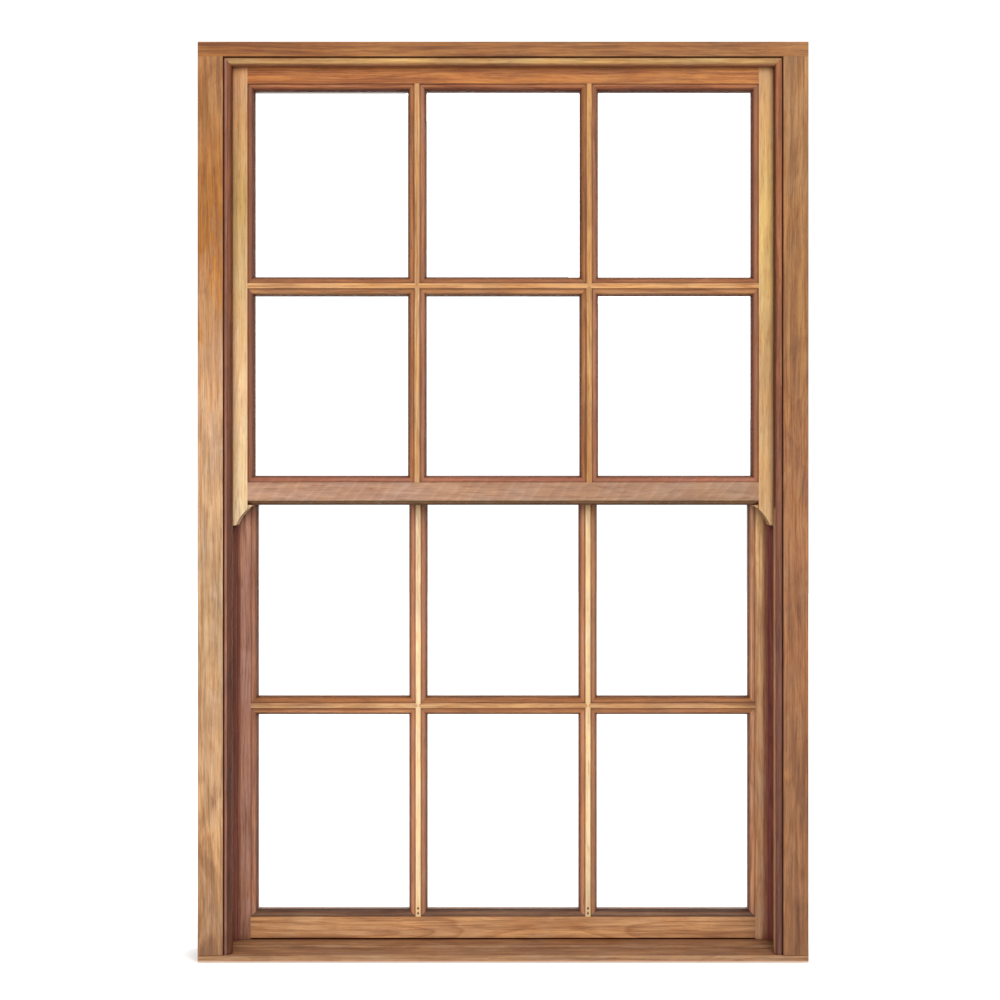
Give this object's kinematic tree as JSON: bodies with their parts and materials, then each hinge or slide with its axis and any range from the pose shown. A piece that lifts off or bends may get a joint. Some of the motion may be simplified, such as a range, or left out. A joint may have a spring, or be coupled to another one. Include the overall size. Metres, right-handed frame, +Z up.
{
  "type": "sash window",
  "caption": "Timber double-hung sash window in its frame, with sliding upper and lower sashes, glazing bars, horns and spiral balances.",
  "frame": {"origin": "middle of the underside of the frame", "axes": "+X to the right seen from outside, +Y from outside into the room, +Z up"},
  "size_m": [1.085, 0.14, 1.6355],
  "materials": {
    "frame_timber": "oiled hardwood, satin",
    "bead_timber": "oiled hardwood, satin",
    "upper_sash_timber": "oiled hardwood, satin",
    "lower_sash_timber": "oiled hardwood, satin",
    "glass": "clear float glass",
    "balance_tube": "white tube",
    "balance_bush": "natural nylon",
    "balance_steel": "zinc plated"
  },
  "bodies": {
    "frame": {"balance_tube_screws": "balance_steel", "head": "frame_timber", "head_outer_bead": "bead_timber", "head_parting_bead": "bead_timber", "head_staff_bead": "bead_timber", "left_jamb": "frame_timber", "left_outer_bead": "bead_timber", "left_parting_bead": "bead_timber", "left_staff_bead": "bead_timber", "lower_left_balance_tube": "balance_tube", "lower_right_balance_tube": "balance_tube", "right_jamb": "frame_timber", "right_outer_bead": "bead_timber", "right_parting_bead": "bead_timber", "right_staff_bead": "bead_timber", "sill": "frame_timber", "sill_staff_bead": "bead_timber", "upper_left_balance_tube": "balance_tube", "upper_right_balance_tube": "balance_tube"},
    "upper_sash": {"upper_balance_feet": "balance_steel", "upper_balance_rods": "balance_steel", "upper_bar_above_1": "upper_sash_timber", "upper_bar_above_2": "upper_sash_timber", "upper_bar_below_1": "upper_sash_timber", "upper_bar_below_2": "upper_sash_timber", "upper_cross_bar": "upper_sash_timber", "upper_glazing_beads": "upper_sash_timber", "upper_left_stile": "upper_sash_timber", "upper_meeting_rail": "upper_sash_timber", "upper_pane_bottom_1": "glass", "upper_pane_bottom_2": "glass", "upper_pane_bottom_3": "glass", "upper_pane_top_1": "glass", "upper_pane_top_2": "glass", "upper_pane_top_3": "glass", "upper_right_stile": "upper_sash_timber", "upper_top_rail": "upper_sash_timber"},
    "lower_sash": {"lower_balance_feet": "balance_steel", "lower_balance_rods": "balance_steel", "lower_bottom_rail": "lower_sash_timber", "lower_cross_bar_left": "lower_sash_timber", "lower_cross_bar_middle": "lower_sash_timber", "lower_cross_bar_right": "lower_sash_timber", "lower_glazing_beads": "lower_sash_timber", "lower_left_stile": "lower_sash_timber", "lower_long_bar_1": "lower_sash_timber", "lower_long_bar_2": "lower_sash_timber", "lower_meeting_rail": "lower_sash_timber", "lower_pane_bottom_1": "glass", "lower_pane_bottom_2": "glass", "lower_pane_bottom_3": "glass", "lower_pane_top_1": "glass", "lower_pane_top_2": "glass", "lower_pane_top_3": "glass", "lower_right_stile": "lower_sash_timber"},
    "lower_left_bush": {"lower_left_balance_bush": "balance_bush"},
    "lower_right_bush": {"lower_right_balance_bush": "balance_bush"},
    "upper_left_bush": {"upper_left_balance_bush": "balance_bush"},
    "upper_right_bush": {"upper_right_balance_bush": "balance_bush"}
  },
  "joints": [
    {"name": "upper_sash_slide", "type": "slide", "parent": "frame", "child": "upper_sash", "axis": [0, 0, -1], "range_m": [0, 0.72], "stiffness_N_per_m": 9.976, "springref_m": -11.64},
    {"name": "lower_sash_slide", "type": "slide", "parent": "frame", "child": "lower_sash", "axis": [0, 0, 1], "range_m": [0, 0.72], "stiffness_N_per_m": 10.307, "springref_m": 12},
    {"name": "upper_left_bush_turn", "type": "hinge", "parent": "frame", "child": "upper_left_bush", "pos_m": [-0.5083, -0.027, 0.8305], "axis": [0, 0, 1], "range_deg": [0, 649]},
    {"name": "upper_right_bush_turn", "type": "hinge", "parent": "frame", "child": "upper_right_bush", "pos_m": [0.5083, -0.027, 0.8305], "axis": [0, 0, 1], "range_deg": [0, 649]},
    {"name": "lower_left_bush_turn", "type": "hinge", "parent": "frame", "child": "lower_left_bush", "pos_m": [-0.5083, 0.027, 0.8305], "axis": [0, 0, 1], "range_deg": [-649, 0]},
    {"name": "lower_right_bush_turn", "type": "hinge", "parent": "frame", "child": "lower_right_bush", "pos_m": [0.5083, 0.027, 0.8305], "axis": [0, 0, 1], "range_deg": [-649, 0]}
  ],
  "couplings": [
    {"joint": "upper_left_bush_turn", "follows": "upper_sash_slide", "rad_per_m": 15.708},
    {"joint": "upper_right_bush_turn", "follows": "upper_sash_slide", "rad_per_m": 15.708},
    {"joint": "lower_left_bush_turn", "follows": "lower_sash_slide", "rad_per_m": -15.708},
    {"joint": "lower_right_bush_turn", "follows": "lower_sash_slide", "rad_per_m": -15.708}
  ]
}
